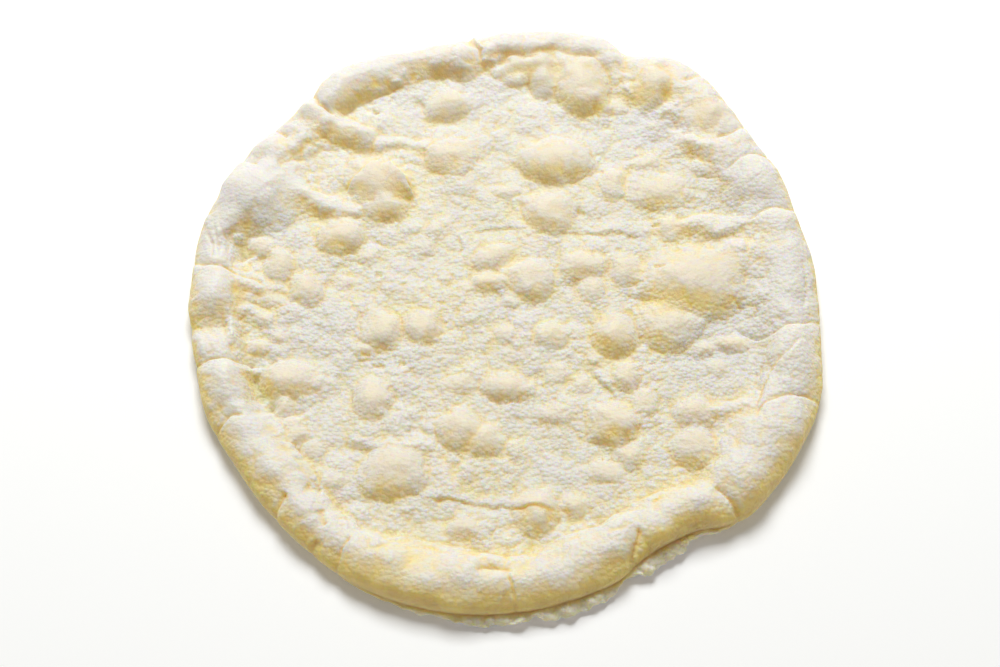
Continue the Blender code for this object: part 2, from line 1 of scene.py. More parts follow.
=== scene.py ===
import bpy
import numpy as np
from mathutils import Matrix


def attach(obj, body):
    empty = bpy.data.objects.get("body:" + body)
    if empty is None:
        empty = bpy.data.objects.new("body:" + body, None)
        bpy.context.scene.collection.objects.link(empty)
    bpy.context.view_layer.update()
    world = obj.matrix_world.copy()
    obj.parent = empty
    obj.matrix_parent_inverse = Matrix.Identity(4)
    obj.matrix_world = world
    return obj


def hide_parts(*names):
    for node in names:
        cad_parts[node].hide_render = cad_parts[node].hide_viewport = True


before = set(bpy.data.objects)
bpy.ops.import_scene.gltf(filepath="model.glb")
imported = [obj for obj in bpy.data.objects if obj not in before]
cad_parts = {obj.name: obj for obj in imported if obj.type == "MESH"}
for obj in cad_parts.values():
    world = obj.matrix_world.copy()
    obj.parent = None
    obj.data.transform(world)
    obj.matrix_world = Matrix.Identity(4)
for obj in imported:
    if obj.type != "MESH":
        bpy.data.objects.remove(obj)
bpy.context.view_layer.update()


# The stretched round. White dough is pressed out by hand to a thin sheet, and the gas that is
# pushed outwards leaves a thick rolled rim. It is wider and lower in some places and pulled in at
# others. The outline and the rim are followed round the middle, in millimetres.
MM = 0.001
SHEET_THICKNESS = 6.0
EQUATOR_HEIGHT = 6.5
UNDER_TUCK = 5.0
LEAST_INSET = 4
INSET_SHARE = 0.28
WIDEST_ROLL = 28
INNER_ROUND = 1.6
OUTER_FLAT = 1.7
OUTER_ROUND = 0.62

# angle, reach from the middle, crest height, width, how gently it runs in
RIM = (
    (0, 148.0, 14.5, 38, 1.4),
    (10, 149.5, 14.0, 42, 1.6),
    (20, 150.2, 14.0, 42, 1.6),
    (31, 155.0, 14.0, 40, 1.5),
    (37, 155.5, 13.5, 42, 1.5),
    (45, 160.5, 13.0, 44, 1.6),
    (52, 166.5, 12.5, 46, 1.7),
    (60, 168.5, 12.5, 42, 1.6),
    (67, 161.5, 12.0, 26, 1.3),
    (73, 166.0, 13.0, 23, 1.0),
    (82, 163.5, 13.5, 22, 0.8),
    (92, 159.5, 13.5, 21, 0.8),
    (98, 157.0, 13.5, 20, 0.8),
    (106, 157.0, 14.0, 19, 0.8),
    (115, 159.5, 14.5, 22, 0.6),
    (122, 160.5, 15.0, 23, 0.6),
    (130, 153.5, 14.0, 22, 1.0),
    (134, 152.0, 12.5, 26, 1.5),
    (139, 152.5, 12.0, 32, 1.8),
    (147, 152.5, 13.5, 34, 1.6),
    (156, 152.0, 15.0, 30, 1.4),
    (164, 151.5, 13.5, 24, 1.4),
    (172, 149.0, 14.5, 26, 1.0),
    (183, 147.5, 14.5, 26, 0.9),
    (192, 146.0, 13.5, 24, 0.9),
    (202, 147.5, 15.5, 29, 0.8),
    (213, 146.5, 15.5, 28, 0.7),
    (224, 148.5, 15.5, 28, 0.6),
    (234, 151.0, 14.5, 25, 0.8),
    (243, 154.0, 14.5, 27, 0.8),
    (252, 155.0, 15.0, 31, 0.7),
    (262, 155.0, 16.0, 31, 0.6),
    (272, 153.3, 15.5, 26, 0.6),
    (283, 149.8, 16.0, 30, 0.5),
    (290, 147.0, 15.5, 28, 0.5),
    (297, 141.6, 15.0, 25, 0.6),
    (306, 142.4, 15.5, 25, 0.7),
    (315, 152.5, 15.5, 30, 0.8),
    (323, 153.5, 17.0, 38, 0.7),
    (332, 153.5, 17.5, 40, 0.7),
    (341, 153.5, 16.5, 34, 0.9),
    (351, 149.5, 15.0, 32, 1.2),
)


def between(table, column, angle):
    """A smooth closed curve through one column of a table whose rows start with an angle."""
    stop = np.array([row[0] for row in table], float)
    value = np.array([row[column] for row in table], float)
    stop = np.concatenate((stop[-2:] - 360, stop, stop[:2] + 360))
    value = np.concatenate((value[-2:], value, value[:2]))
    slope = np.gradient(value, stop)
    k = np.searchsorted(stop, angle, side="right") - 1
    gap = stop[k + 1] - stop[k]
    t = (angle - stop[k]) / gap
    start = (1 + 2 * t) * (1 - t) ** 2 * value[k] + t * (1 - t) ** 2 * gap * slope[k]
    end = t * t * (3 - 2 * t) * value[k + 1] + t * t * (t - 1) * gap * slope[k + 1]
    return start + end


def crest_inset(width):
    """How far in from the rim's outermost line its crest lies."""
    return LEAST_INSET + INSET_SHARE * np.minimum(width, WIDEST_ROLL)


def plain_rim(x, y):
    """Height of the sheet and its rolled rim, bare of every lump, blister and crease."""
    angle = np.degrees(np.arctan2(y, x)) % 360
    reach, crest, width, gentle = (between(RIM, column, angle) for column in (1, 2, 3, 4))
    inset = crest_inset(width)
    into = reach - np.hypot(x, y)
    across = np.clip((into - inset) / (width - inset), 0, 1)
    inner = (1 - across ** 2) ** (INNER_ROUND * gentle)
    inner = SHEET_THICKNESS + (crest - SHEET_THICKNESS) * inner
    round_over = np.clip(1 - into / inset, 0, 1)
    outer = (1 - round_over ** OUTER_FLAT) ** OUTER_ROUND
    outer = EQUATOR_HEIGHT + (crest - EQUATOR_HEIGHT) * outer
    return np.where(into > inset, inner, outer)


# The dough's own unevenness. No pull of the hand is quite even, so every form is dragged a little
# out of true, and the skin is swollen here and slack there. The draws are seeded.
CELLS = 97


def uneven(x, y, size, seed):
    """Smooth seeded unevenness from -1 to 1, in patches of one size."""
    table = np.random.default_rng(seed).uniform(-1, 1, (CELLS, CELLS))
    u = x / size + CELLS
    v = y / size + CELLS
    i = np.floor(u).astype(int)
    j = np.floor(v).astype(int)
    f = u - i
    g = v - j
    f = f * f * (3 - 2 * f)
    g = g * g * (3 - 2 * g)
    left = i % CELLS
    right = (i + 1) % CELLS
    front = j % CELLS
    back = (j + 1) % CELLS
    near = table[left, front] * (1 - f) + table[right, front] * f
    far = table[left, back] * (1 - f) + table[right, back] * f
    return near * (1 - g) + far * g


def soft_top(a, b, blend):
    """The higher of two heights, with the corner between them rounded."""
    share = np.clip(0.5 + 0.5 * (a - b) / blend, 0, 1)
    return b + (a - b) * share + blend * share * (1 - share)


# Lumps of the rim. The rolled edge is squeezed into pillows that reach in over the sheet, the
# largest of them at the left, the front right and the back right. Each is an oval, round on top.
LOW_GROUND = 1.4
OVAL_WAVER = 0.09
LUMP_SPREAD = 1.08
LUMP_BLEND = 4.5
SWELL_ROUND = 0.75

# x, y, width, depth, height of the top, turn
LUMPS = (
    (-117, 91, 24, 18, 14.0, 35),
    (-120, 65, 52, 43, 16.8, -20),
    (-137, 6, 30, 34, 16.5, 0),
    (-128, -17, 14, 12, 11.0, 0),
    (-129, -43, 28, 36, 16.5, 0),
    (-117, -73, 28, 36, 15.0, 30),
    (-22, 144, 22, 24, 13.5, 0),
    (62, 146, 30, 22, 12.5, 0),
    (117, 96, 22, 17, 14.0, 0),
    (122, 69, 34, 30, 14.5, 0),
    (96, 93, 36, 15, 10.5, 5),
    (104, 47, 38, 14, 10.5, 5),
    (118, 28, 60, 32, 13.0, 5),
    (133, -5, 15, 10, 13.5, 0),
    (134, -28, 32, 40, 15.5, 0),
    (128, -66, 36, 38, 17.0, -20),
    (108, -88, 38, 36, 17.0, 30),
    (80, -107, 46, 26, 16.0, 28),
    (69, -116, 22, 22, 15.5, 20),
)


def over(x, y, middle_x, middle_y, width, depth, turn):
    """The points near an oval: their indices, and 0 at its middle rising to 1 at its edge."""
    reach = max(width, depth)
    near = np.nonzero((abs(x - middle_x) < reach) & (abs(y - middle_y) < reach))[0]
    dx = x[near] - middle_x
    dy = y[near] - middle_y
    c = np.cos(np.radians(turn))
    s = np.sin(np.radians(turn))
    out = np.hypot((dx * c + dy * s) / (width / 2), (dy * c - dx * s) / (depth / 2))
    return near, out * (1 + OVAL_WAVER * uneven(x[near], y[near], min(width, depth) / 2, 41))


def add_lumps(top, x, y):
    """Raises the heights in top to the lumps, in place."""
    for middle_x, middle_y, width, depth, height, turn in LUMPS:
        spread = (LUMP_SPREAD * width, LUMP_SPREAD * depth)
        near, out = over(x, y, middle_x, middle_y, *spread, turn)
        swell = (height - LOW_GROUND) * np.clip(1 - out ** 2, 0, 1) ** SWELL_ROUND
        top[near] = soft_top(top[near], LOW_GROUND + swell, LUMP_BLEND)


# Rolled and stretched ridges. Where the rim was folded over or dragged inwards it left long soft
# ridges of dough that start thick at the rim and run out flat on the sheet.
RIDGE_BLEND = 3.0

# path, half width at its two ends, height of the top at its two ends
RIDGES = (
    (((-110, 117), (-98, 114), (-88, 108), (-78, 102), (-69, 97)), (12, 8), (15.5, 12.5)),
    (((-62, 94), (-50, 96), (-38, 93)), (5, 3), (9.5, 7.0)),
    (((-113, 74), (-101, 64), (-91, 60), (-81, 57), (-71, 55)), (13, 4), (13.5, 8.0)),
    (((-3, 138), (12, 141), (30, 142)), (5, 6), (10.5, 11.5)),
    (((-132, 17), (-118, 14), (-106, 12)), (8, 6), (12.0, 7.5)),
    (((-134, -1), (-120, -1), (-111, -6)), (8, 6), (11.0, 7.5)),
    (((-149, -13), (-142, -18), (-137, -27)), (4.5, 4), (14.0, 11.5)),
    (((-68, -70), (-52, -72), (-34, -73)), (4, 4), (7.5, 7.2)),
    (((86, 46), (94, 49), (103, 44), (112, 47), (122, 50)), (6, 7), (9.0, 13.0)),
    (((96, -54), (110, -53), (122, -55)), (5, 9), (9.0, 14.0)),
    (((-19, 162), (-15, 155), (-12, 149)), (2.6, 2.2), (19.0, 15.5)),
)


def round_off(path, steps=8):
    """Points of a smooth curve through the path's own points."""
    own = np.array(path, float)
    own = np.vstack((2 * own[0] - own[1], own, 2 * own[-1] - own[-2]))
    curve = []
    for a, b, c, d in zip(own[:-3], own[1:-2], own[2:-1], own[3:]):
        for t in np.arange(steps) / steps:
            bend = (2 * a - 5 * b + 4 * c - d) * t * t + (3 * b - a - 3 * c + d) * t ** 3
            curve.append(b + 0.5 * ((c - a) * t + bend))
    curve.append(own[-2])
    return np.array(curve)


def beside(x, y, path, reach):
    """The points within reach of a path: their indices, how far to its left or, below 0, to its
    right they lie, and at what share of its length."""
    curve = round_off(path)
    low = curve.min(axis=0) - reach
    high = curve.max(axis=0) + reach
    near = np.nonzero((x > low[0]) & (x < high[0]) & (y > low[1]) & (y < high[1]))[0]
    steps = np.hypot(*np.diff(curve, axis=0).T)
    run = np.concatenate(([0], np.cumsum(steps)))
    away = np.full(len(near), np.inf)
    side = np.ones(len(near))
    share = np.zeros(len(near))
    for start, end, before, step in zip(curve[:-1], curve[1:], run, steps):
        way = (end - start) / step
        gone = (x[near] - start[0]) * way[0] + (y[near] - start[1]) * way[1]
        gone = np.clip(gone, 0, step)
        far = np.hypot(x[near] - start[0] - gone * way[0], y[near] - start[1] - gone * way[1])
        left = way[0] * (y[near] - start[1]) - way[1] * (x[near] - start[0])
        closer = far < away
        away[closer] = far[closer]
        side[closer] = np.sign(left[closer])
        share[closer] = (before + gone[closer]) / run[-1]
    return near, away * side, share


def add_ridges(top, x, y):
    """Raises the heights in top to the ridges, in place."""
    for path, half_widths, heights in RIDGES:
        near, away, share = beside(x, y, path, max(half_widths))
        half_width = half_widths[0] + (half_widths[1] - half_widths[0]) * share
        height = heights[0] + (heights[1] - heights[0]) * share
        swell = np.clip(1 - (away / half_width) ** 2, 0, 1) ** SWELL_ROUND
        swell = (height - LOW_GROUND) * swell
        top[near] = soft_top(top[near], LOW_GROUND + swell, RIDGE_BLEND)


# Blisters. Gas under the skin blew it up in the oven into smooth domes, from lentil size up to the
# one behind the middle, which is as wide as a large coin. They stay pale and their skin is taut.
# Their backs run out wider and gentler than their fronts.
BACK_WIDER = 0.2
BACK_GENTLER = 0.3
TAUT_HEIGHT = 3.0

# x, y, width, depth, height above the sheet, turn
BLISTERS = (
    (-28, 117, 20, 18, 4.5, 0),
    (-25, 86, 24, 21, 5.4, 0),
    (25, 83, 37, 26, 8.6, 0),
    (23, 54, 26, 25, 5.9, 0),
    (53, 70, 13, 18, 3.6, 0),
    (75, 66, 32, 20, 3.8, 0),
    (69, 83, 15, 10, 2.3, 0),
    (74, 106, 9, 9, 1.6, 0),
    (48, 116, 13, 12, 2.5, 0),
    (57, 118, 11, 11, 2.2, 0),
    (-61, 71, 34, 28, 6.3, -25),
    (-57, 57, 23, 18, 5.4, 0),
    (6, 138, 17, 20, 5.0, 0),
    (20, 135, 18, 28, 6.3, 5),
    (39, 130, 29, 38, 8.6, 12),
    (75, 127, 23, 27, 7.2, -15),
    (93, -21, 17, 10, 2.5, 5),
    (107, -18, 18, 10, 2.9, -5),
    (99, -31, 13, 9, 1.6, 0),
    (99, 108, 28, 24, 5.4, 0),
    (90, 14, 54, 40, 9.5, -8),
    (-78, 40, 24, 20, 5.4, 0),
    (-107, 24, 15, 20, 4.3, 0),
    (-116, 35, 12, 12, 3.1, 0),
    (-93, 11, 18, 18, 4.3, 0),
    (-76, 16, 10, 10, 1.8, 0),
    (-34, 46, 8, 8, 1.6, 0),
    (2, 67, 14, 9, 1.8, 0),
    (-36, 35, 9, 9, 1.6, 0),
    (-5, 29, 20, 13, 3.8, 15),
    (-8, 15, 17, 13, 3.6, 0),
    (-28, 18, 8, 8, 1.4, 0),
    (-18, 14, 8, 8, 1.4, 0),
    (-64, 29, 9, 9, 1.6, 0),
    (80, 45, 18, 13, 3.1, 0),
    (38, 24, 23, 17, 5.0, 0),
    (41, 12, 13, 15, 3.2, 0),
    (13, 16, 21, 23, 5.4, 0),
    (3, 4, 8, 8, 1.4, 0),
    (59, 21, 17, 19, 4.1, 0),
    (-122, 7, 12, 12, 2.2, 0),
    (-110, 7, 14, 13, 2.2, 0),
    (-57, -12, 21, 22, 5.2, 0),
    (-65, -22, 11, 10, 2.7, 0),
    (-38, -10, 18, 19, 5.2, 0),
    (0, -13, 10, 11, 2.3, 0),
    (-22, -40, 20, 11, 2.7, 0),
    (1, -42, 26, 15, 4.5, 0),
    (-60, -48, 18, 22, 5.2, 0),
    (22, -13, 15, 16, 3.6, 0),
    (52, -14, 21, 25, 5.9, 0),
    (78, -9, 31, 28, 5.9, 12),
    (42, -26, 9, 9, 1.6, 0),
    (57, -36, 14, 18, 4.1, 0),
    (25, -34, 13, 12, 2.5, 0),
    (37, -40, 10, 10, 2.0, 0),
    (65, -50, 15, 15, 3.8, 0),
    (50, -61, 25, 24, 6.7, 0),
    (57, -77, 14, 14, 3.8, 0),
    (24, -56, 17, 12, 2.7, 0),
    (87, -56, 20, 17, 4.5, 0),
    (87, -73, 22, 22, 6.1, 0),
    (-20, -64, 20, 22, 5.6, 0),
    (-8, -70, 18, 17, 4.7, 0),
    (5, -73, 10, 9, 1.8, 0),
    (-99, -38, 27, 21, 5.9, 0),
    (-101, -52, 10, 12, 3.1, 0),
    (-106, -66, 8, 9, 2.5, 0),
    (-97, -60, 8, 7, 2.0, 0),
    (-99, -76, 9, 8, 2.3, 0),
    (-90, -85, 9, 8, 2.3, 0),
    (-77, -90, 11, 8, 2.3, 0),
    (-114, -20, 12, 9, 2.7, 0),
    (-104, -15, 9, 8, 2.2, 0),
    (-112, -5, 9, 8, 2.0, 0),
    (-95, -67, 11, 11, 2.7, 0),
    (-86, -74, 10, 10, 2.2, 0),
    (-51, -86, 30, 27, 7.7, 0),
    (14, -106, 21, 23, 6.1, 0),
    (33, -102, 14, 12, 3.2, 0),
    (46, -85, 15, 12, 3.2, 0),
    (-19, -113, 15, 13, 3.2, 0),
    (105, 14, 16, 15, 2.7, 0),
)


def blisters(x, y):
    """How high the blisters stand over the sheet, and how taut they make the skin, 0 to 1."""
    blown = np.zeros_like(x)
    taut = np.zeros_like(x)
    for middle_x, middle_y, width, depth, height, turn in BLISTERS:
        near, out = over(x, y, middle_x, middle_y, width, depth, turn)
        back = np.clip(0.5 + (y[near] - middle_y) / depth, 0, 1)
        dome = np.clip(1 - (out / (1 + BACK_WIDER * back)) ** 2, 0, 1)
        dome = dome ** (1 + BACK_GENTLER * back)
        blown[near] = np.cbrt(blown[near] ** 3 + (height * dome) ** 3)
        taut[near] = np.maximum(taut[near], dome * np.clip(height / TAUT_HEIGHT, 0, 1))
    return blown, taut


# Creases and folds. The rim was pinched and tucked as the round was turned, which left thin
# grooves across it, each in a soft hollow. Where the dough was folded over, one side stands above
# the other. A few short ones are pits.
SIDE_CREASE = 0.25
CREASE_REACH = 16
CREASE_ENDS = 6
LEAST_AT_ENDS = 0.15
GROOVE_FLAT = 1.6
FOLD_REACH = 5
FOLD_FLAT = 1.5

# path, depth and half width of the groove, depth and half width of the soft hollow round it,
# how far the left side of the path, or below 0 the right side, stands above the other
CREASES = (
    (((-101, 126), (-93, 121), (-90, 114), (-83, 109)), 2.1, 1.1, 1.5, 5, 0.8),
    (((-118, 106), (-111, 101), (-106, 96)), 1.4, 0.9, 1.2, 4, -0.8),
    (((-134, 86), (-125, 81), (-119, 78)), 1.4, 0.9, 1.3, 4, -0.8),
    (((-132, 42), (-127, 34), (-122, 27)), 2.5, 4.0, 1.5, 8, 0.0),
    (((-55, 84), (-50, 76), (-43, 64)), 0.4, 0.8, 0.0, 4, -4.0),
    (((-77, 65), (-70, 75), (-62, 85)), 0.4, 0.8, 0.3, 4, -2.5),
    (((-150, -9), (-139, -12), (-127, -10)), 0.6, 2.0, 3.5, 6, 0.0),
    (((-142, 42), (-139, 33), (-139, 25)), 0.6, 0.6, 0.3, 2, 0.0),
    (((-139, 43), (-136, 33), (-135, 26)), 0.6, 0.6, 0.3, 2, 0.0),
    (((-136, 43), (-132, 34), (-131, 27)), 0.6, 0.6, 0.3, 2, 0.0),
    (((-152, 27), (-140, 22), (-131, 20), (-120, 16), (-112, 13)), 1.4, 0.9, 1.2, 4, -1.0),
    (((-150, -31), (-139, -30), (-130, -29), (-112, -30)), 1.5, 0.9, 1.4, 4, -1.0),
    (((-116, -33), (-113, -44), (-107, -57)), 6.0, 5.0, 0.0, 4, 0.0),
    (((-13, -136.5), (-5, -136), (4, -136.5)), 1.5, 1.0, 0.5, 3, 0.0),
    (((-134, -68), (-128, -64), (-124, -61), (-118, -60)), 1.4, 0.9, 1.2, 4, -1.0),
    (((-97, -100), (-101, -106), (-104, -113)), 1.8, 1.4, 1.2, 5, 1.0),
    (((-16, 166), (-13, 151), (-11, 140)), 1.4, 0.9, 1.0, 4, 0.6),
    (((-10, 144), (12, 146.5), (30, 147), (52, 143)), 0.7, 1.3, 0.8, 3, 0.0),
    (((60, 154), (62, 143), (58, 133)), 1.1, 2.2, 1.5, 7, 0.0),
    (((88, 129), (98, 134), (104, 137)), 0.8, 0.9, 0.8, 4, -0.6),
    (((101, 94), (110, 97), (116, 101), (124, 107)), 1.3, 0.9, 1.0, 4, -0.8),
    (((108, 77), (113, 81), (120, 84), (133, 86)), 1.4, 0.9, 1.2, 5, -0.8),
    (((116, 47), (124, 51), (131, 54), (141, 55)), 1.4, 0.9, 1.2, 5, -0.8),
    (((108, -9), (116, -14), (123, -15), (130, -12), (141, -11), (151, -8)),
     1.5, 0.9, 1.2, 5, -1.0),
    (((137, -20), (127, -31), (119, -44), (115, -57)), 0.8, 0.9, 0.8, 4, 1.8),
    (((115, -62), (116, -57), (120, -52), (127, -50), (138, -50), (148, -53)),
     1.7, 1.0, 1.2, 5, -1.0),
    (((94, -96), (101, -103), (105, -110)), 1.7, 1.1, 1.4, 5, 0.8),
    (((61, -116), (59, -124), (57, -134)), 1.7, 1.2, 1.5, 5, 0.8),
    (((2, -139), (4, -146), (6, -156)), 1.1, 0.8, 1.2, 5, 0.5),
    (((-67, -119), (-70, -126), (-76, -137)), 1.1, 0.8, 1.0, 5, 0.8),
    (((-83, -121), (-86, -127), (-90, -132)), 1.0, 1.2, 0.8, 4, 0.0),
    (((-89, -94), (-82, -95)), 2.0, 2.2, 1.0, 5, 0.0),
    (((-83, -107), (-80, -115)), 1.4, 1.6, 1.0, 4, 0.0),
    (((32, 43), (50, 42), (68, 41)), 0.6, 0.8, 0.8, 3, 0.9),
    (((-15, 45), (0, 46), (10, 46)), 0.6, 0.8, 0.4, 3, 0.8),
    (((112, -1), (106, 6)), 0.8, 0.7, 0.5, 3, 0.0),
    (((141, 24), (142, 10), (141, -3)), 0.7, 0.7, 0.6, 3, 0.6),
    (((25, -105), (3, -103), (-10, -102), (-20, -99), (-30, -99), (-38, -97)),
     0.4, 0.8, 0.6, 4, -1.6),
    (((-22, 42), (-20, 36), (-20, 30)), 0.6, 0.8, 0.4, 3, 0.9),
    (((59, 9), (63, 6), (67, 5)), 0.7, 0.8, 0.5, 3, 0.5),
    (((41, -34), (46, -40), (51, -45)), 0.5, 0.8, 0.4, 3, 1.2),
    (((-49, -29), (-45, -29)), 1.3, 1.5, 0.3, 3, 0.0),
    (((71, 47), (75, 47)), 1.3, 1.3, 0.3, 3, 0.0),
    (((71, 22), (77, 22)), 1.1, 0.9, 0.3, 3, 0.0),
    (((-61, 20), (-57, 20)), 1.1, 1.2, 0.3, 3, 0.0),
    (((-66, 114), (-62, 114)), 1.2, 1.3, 0.3, 3, 0.0),
    (((35, 54), (39, 54)), 1.1, 1.2, 0.3, 3, 0.0),
    (((-67, -24), (-61, -24)), 1.2, 1.2, 0.5, 3, 0.0),
    (((-61, -29), (-55, -30)), 1.0, 1.1, 0.5, 3, 0.0),
)


def cut_creases(stand, x, y, facing_up):
    """Takes the creases out of how far the skin stands up, in place."""
    for path, depth, half_width, hollow, hollow_half_width, fold in CREASES:
        reach = max(CREASE_REACH, 3 * half_width, 3 * hollow_half_width)
        near, across, share = beside(x, y, path, reach)
        away = abs(across)
        fade = np.clip(CREASE_ENDS * np.minimum(share, 1 - share) + LEAST_AT_ENDS, 0, 1)
        groove = depth * np.exp(-(away / half_width) ** GROOVE_FLAT)
        groove += hollow * np.exp(-(away / hollow_half_width) ** 2)
        raised = np.clip(0.5 + across * np.sign(fold), 0, 1)
        groove -= abs(fold) * raised * np.exp(-(away / FOLD_REACH) ** FOLD_FLAT)
        stand[near] -= groove * fade * (SIDE_CREASE + (1 - SIDE_CREASE) * facing_up[near])


# The skin of the sheet. Where nothing stretched it taut the skin dried into close little mounds
# and wrinkles, wider than deep, like goose flesh. On blisters and on the rim it is nearly smooth.
PEBBLE_REACH = 0.55
PEBBLE_DRAG = 0.8
BLISTER_SINK = 0.5
RIM_STARTS = 0.8
RIM_RISE = 5
BROAD_HOLLOW = 0.9
SLACK_FROM = 6.3
SLACK_TO = 12
SLACK_HOLLOW = 0.8
ROLLED_FROM = 11
CALM_ROLL = 0.45
CALM_SWELL = 0.6
CALM_BLISTER = 0.6

# height, size, how much wider than deep, turn, seed of the draw
BROAD_MOUNDS = (2.2, 22, 1.3, 21, 7)
SLACK_MOUNDS = (2.2, 8.5, 1.2, -17, 18)
SKIN_MOUNDS = (
    (1.4, 9.5, 1.2, 10, 17),
    (0.75, 4.6, 1.2, -8, 11),
    (0.55, 2.5, 1.1, 33, 12),
)

# height, size, seed of the draw
RIM_SWELLS = ((1.2, 17, 5), (0.8, 8, 6))


def turned(x, y, degrees):
    """Plan places turned about the middle, so that no grid shows through the unevenness."""
    c = np.cos(np.radians(degrees))
    s = np.sin(np.radians(degrees))
    return x * c + y * s, y * c - x * s


def pebbles(x, y, size, stretch, seed):
    """Close-set little mounds from 0 to 1 high, wider than deep by the stretch."""
    rng = np.random.default_rng(seed)
    across = rng.uniform(0.1, 0.9, (CELLS, CELLS))
    along = rng.uniform(0.1, 0.9, (CELLS, CELLS))
    tall = rng.uniform(0.15, 1.0, (CELLS, CELLS))
    u = x / (size * stretch)
    v = y / size
    i = np.floor(u).astype(int)
    j = np.floor(v).astype(int)
    height = np.zeros_like(u)
    for a in (-1, 0, 1):
        for b in (-1, 0, 1):
            p = (i + a) % CELLS
            q = (j + b) % CELLS
            apart = (u - i - a - across[p, q]) ** 2 + (v - j - b - along[p, q]) ** 2
            mound = tall[p, q] * np.clip(1 - apart / PEBBLE_REACH, 0, 1)
            height = np.maximum(height, mound)
    return height


def mounds(x, y, height, size, stretch, turn, seed):
    """Mounds of one size, laid at a turn, in millimetres."""
    return height * pebbles(*turned(x, y, turn), size, stretch, seed)


def swells(x, y, kinds):
    """Smooth unevenness of several kinds together, each with its height, size and seed."""
    return sum(height * uneven(x, y, size, seed) for height, size, seed in kinds)


def goose_flesh(x, y):
    """Height of the sheet's small mounds and wrinkles, in millimetres."""
    drag_x = x + PEBBLE_DRAG * uneven(x, y, 6, 31)
    drag_y = y + PEBBLE_DRAG * uneven(x, y, 6, 33)
    skin = sum(mounds(drag_x, drag_y, *kind) for kind in SKIN_MOUNDS)
    return skin * (0.85 + 0.35 * uneven(x, y, 16, 15))


def dragged(x, y):
    """Plan places dragged a little out of true."""
    return (
        x + 1.0 * uneven(x, y, 9, 1) + 0.5 * uneven(x, y, 4, 2),
        y + 1.0 * uneven(x, y, 9, 3) + 0.5 * uneven(x, y, 4, 4),
    )


def relief(x, y, plain, facing_up):
    """How far the skin stands off the plain rim and sheet, measured square to them."""
    x, y = dragged(x, y)
    top = plain.copy()
    add_lumps(top, x, y)
    add_ridges(top, x, y)
    stand = (top - plain) * facing_up ** 2
    blown, taut = blisters(x, y)
    blown = np.maximum(blown - BLISTER_SINK * (plain - SHEET_THICKNESS), 0)
    stand = np.cbrt(np.maximum(stand, 0) ** 3 + (blown * facing_up) ** 3)
    cut_creases(stand, x, y, facing_up)
    rim = np.clip((plain + stand - SHEET_THICKNESS - RIM_STARTS) / RIM_RISE, 0, 1)
    stand += facing_up * rim * swells(x, y, RIM_SWELLS)
    stand += facing_up * (1 - rim) * (mounds(x, y, *BROAD_MOUNDS) - BROAD_HOLLOW)
    slack = np.clip((plain - SLACK_FROM) / 1.5, 0, 1) * np.clip((SLACK_TO - plain) / 2, 0, 1)
    slack *= 1 - taut
    stand += facing_up * slack * (mounds(x, y, *SLACK_MOUNDS) - SLACK_HOLLOW)
    swollen = np.clip((top - plain) / 6, 0, 1)
    rolled = np.clip((plain - ROLLED_FROM) / 3, 0, 1)
    calm = np.max((CALM_ROLL * rolled, CALM_SWELL * swollen, CALM_BLISTER * taut), axis=0)
    stand += (1 - calm) * facing_up * goose_flesh(x, y)
    return stand


# The torn lip. At the foot of the front rim the dough stuck to what it lay on and tore, and left
# a low, lumpy, ragged bead of dough standing out on the board.
MM_A_DEGREE = 2.65
MEAN_PEBBLE = 0.15
LIP_ROUND = 0.6

# angle, how far it stands out, how thick it is
LIP = (
    (0, 0.0, 4.5),
    (240, 0.0, 4.5),
    (248, 1.2, 4.5),
    (256, 2.6, 4.5),
    (263, 3.8, 4.5),
    (270, 4.8, 4.8),
    (278, 4.9, 4.8),
    (285, 6.0, 4.8),
    (289, 4.6, 4.8),
    (292, 1.8, 5.0),
    (295, 6.4, 6.4),
    (299, 7.4, 6.5),
    (303, 6.0, 6.5),
    (306, 3.2, 6.2),
    (309, 3.6, 6.0),
    (314, 0.0, 4.5),
)


def torn_lip(angle, height):
    """How far the lip stands out at a plan angle and a height above the board."""
    along = angle * MM_A_DEGREE
    ragged = 0.3 * uneven(along, 0 * along, 7, 21)
    ragged += 0.35 * pebbles(along, height, 4.2, 1.1, 23)
    ragged -= MEAN_PEBBLE
    middle_height = 0.5 * between(LIP, 2, angle) * (1 + 0.2 * uneven(along, 0 * along, 6, 24))
    bead = np.clip(1 - (height / middle_height - 1) ** 2, 0, 1) ** LIP_ROUND
    return between(LIP, 1, angle) * (1 + ragged) * bead


# The whole skin as one closed mesh: rings of points from the middle out over the rim, down its
# outside, under the tuck and back to the middle of the underside. The dough is knobbly where it
# tore, and the underside lay on the board but for shallow dimples.
GRID_STEP = 0.62
RIM_ROWS = 34
UNDER_ROWS = 36
BOTTOM_ROWS = 40
LEAST_CORNERS = 6
MOST_TRIANGLES = 196000
KNOB_HEIGHT = 3.0
KNOB_SINK = 0.9
DIMPLE_EDGE = 6


